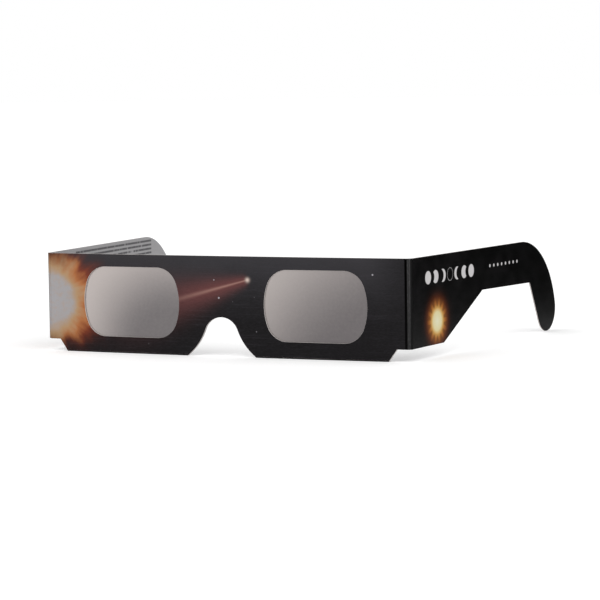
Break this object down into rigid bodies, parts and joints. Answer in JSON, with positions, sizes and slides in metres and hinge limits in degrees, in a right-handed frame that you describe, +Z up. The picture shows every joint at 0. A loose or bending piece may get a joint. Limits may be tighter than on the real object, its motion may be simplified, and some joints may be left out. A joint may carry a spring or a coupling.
{
  "type": "eclipse glasses",
  "caption": "Paper eclipse glasses: a folded printed card front with two silver filter windows, a nose notch and folding card temples with ear hooks.",
  "frame": {"origin": "the middle of the nose notch's mouth, level with the bottom edge, on the line that joins the two front creases", "axes": "+X along the front towards the wearer's left, +Y back from the front towards the ears, +Z up"},
  "size_m": [0.1664, 0.1281, 0.036],
  "materials": {
    "printed_card": "satin",
    "plain_card": "matte",
    "filter_film": "gloss",
    "glue": "matte"
  },
  "bodies": {
    "front": {"front_panel": "printed_card", "back_panel": "plain_card", "left_bottom_fold": "printed_card", "right_bottom_fold": "printed_card", "left_lens_film": "filter_film", "right_lens_film": "filter_film", "left_lens_glue": "glue", "right_lens_glue": "glue", "left_end_glue_pad": "glue", "right_end_glue_pad": "glue", "bridge_glue_pad": "glue"},
    "left_strip": {"left_crease_strip": "printed_card"},
    "left_arm": {"left_temple": "printed_card"},
    "right_strip": {"right_crease_strip": "printed_card"},
    "right_arm": {"right_temple": "printed_card"}
  },
  "joints": [
    {"name": "left_temple_crease", "type": "hinge", "parent": "left_strip", "child": "left_arm", "pos_m": [0.07161, 0.00111, 0.0202], "axis": [0, 0, 1], "range_deg": [-41.02, 47.6]},
    {"name": "left_front_crease", "type": "hinge", "parent": "front", "child": "left_strip", "pos_m": [0.07045, 0, 0.0202], "axis": [0, 0, 1], "range_deg": [-41.02, 47.6]},
    {"name": "right_temple_crease", "type": "hinge", "parent": "right_strip", "child": "right_arm", "pos_m": [-0.07161, 0.00111, 0.0202], "axis": [0, 0, -1], "range_deg": [-41.02, 46.1]},
    {"name": "right_front_crease", "type": "hinge", "parent": "front", "child": "right_strip", "pos_m": [-0.07045, 0, 0.0202], "axis": [0, 0, -1], "range_deg": [-41.02, 46.1]}
  ],
  "couplings": [
    {"joint": "left_front_crease", "follows": "left_temple_crease", "ratio": 1},
    {"joint": "right_front_crease", "follows": "right_temple_crease", "ratio": 1}
  ]
}
